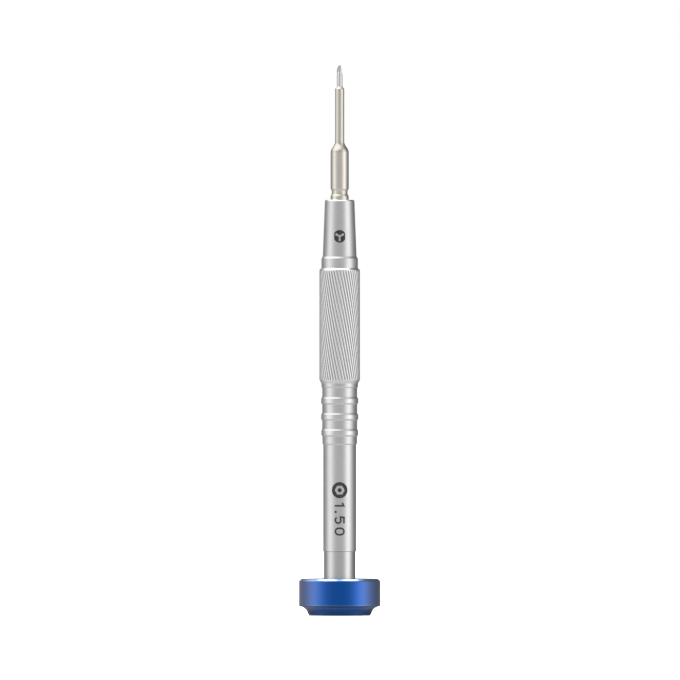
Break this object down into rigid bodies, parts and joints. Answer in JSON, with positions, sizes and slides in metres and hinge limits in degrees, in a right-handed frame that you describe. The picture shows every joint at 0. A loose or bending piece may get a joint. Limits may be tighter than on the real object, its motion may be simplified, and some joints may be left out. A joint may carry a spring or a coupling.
{
  "type": "precision screwdriver",
  "caption": "Slim turned-aluminium precision screwdriver with a push-in three-winged steel blade, fluted grip and a blue palm cap that spins on a ball bearing.",
  "frame": {"origin": "on the tool's axis, in the plane of the palm cap's end face, on which the driver stands", "axes": "+Z along the axis from the cap to the blade's point; the bit-type mark on the nose faces -Y"},
  "size_m": [0.022, 0.022, 0.148],
  "materials": {
    "handle_aluminium": "satin clear-anodised, finely blasted over turning lines, laser-marked",
    "spindle_aluminium": "satin clear-anodised, turned",
    "socket_steel": "turned, plain",
    "magnet_nickel": "bright nickel plate",
    "blade_steel": "satin tool steel, slightly warm",
    "cap_blue_anodised": "blue anodised, satin, turned",
    "disc_blue_anodised": "blue anodised, turned rings, laser-marked",
    "bearing_steel": "ground bearing steel",
    "shield_steel": "pressed sheet steel",
    "cage_steel": "pressed steel, oiled",
    "ball_steel": "polished",
    "fastener_steel": "zinc-plated"
  },
  "bodies": {
    "handle": {"handle_body": "handle_aluminium", "tail_spindle": "spindle_aluminium", "bit_socket": "socket_steel", "bit_magnet": "magnet_nickel", "bearing_inner_ring": "bearing_steel", "screw_washer": "fastener_steel", "retaining_screw": "fastener_steel"},
    "cap": {"cap_shell": "cap_blue_anodised", "cap_end_disc": "disc_blue_anodised", "bearing_outer_ring": "bearing_steel", "bearing_shield_front": "shield_steel", "bearing_shield_rear": "shield_steel"},
    "bearing_cage": {"bearing_cage": "cage_steel", "bearing_ball_1": "ball_steel", "bearing_ball_2": "ball_steel", "bearing_ball_3": "ball_steel", "bearing_ball_4": "ball_steel", "bearing_ball_5": "ball_steel", "bearing_ball_6": "ball_steel", "bearing_ball_7": "ball_steel"},
    "blade": {"blade": "blade_steel"}
  },
  "joints": [
    {"name": "cap_spin", "type": "hinge", "parent": "handle", "child": "cap", "pos_m": [0, 0, 0.00535], "axis": [0, 0, 1], "continuous": true},
    {"name": "cage_spin", "type": "hinge", "parent": "handle", "child": "bearing_cage", "pos_m": [0, 0, 0.00535], "axis": [0, 0, 1], "continuous": true},
    {"name": "blade_pull", "type": "slide", "parent": "handle", "child": "blade", "axis": [0, 0, 1], "range_m": [0, 0.016]}
  ],
  "couplings": [
    {"joint": "cage_spin", "follows": "cap_spin", "ratio": 0.625}
  ]
}
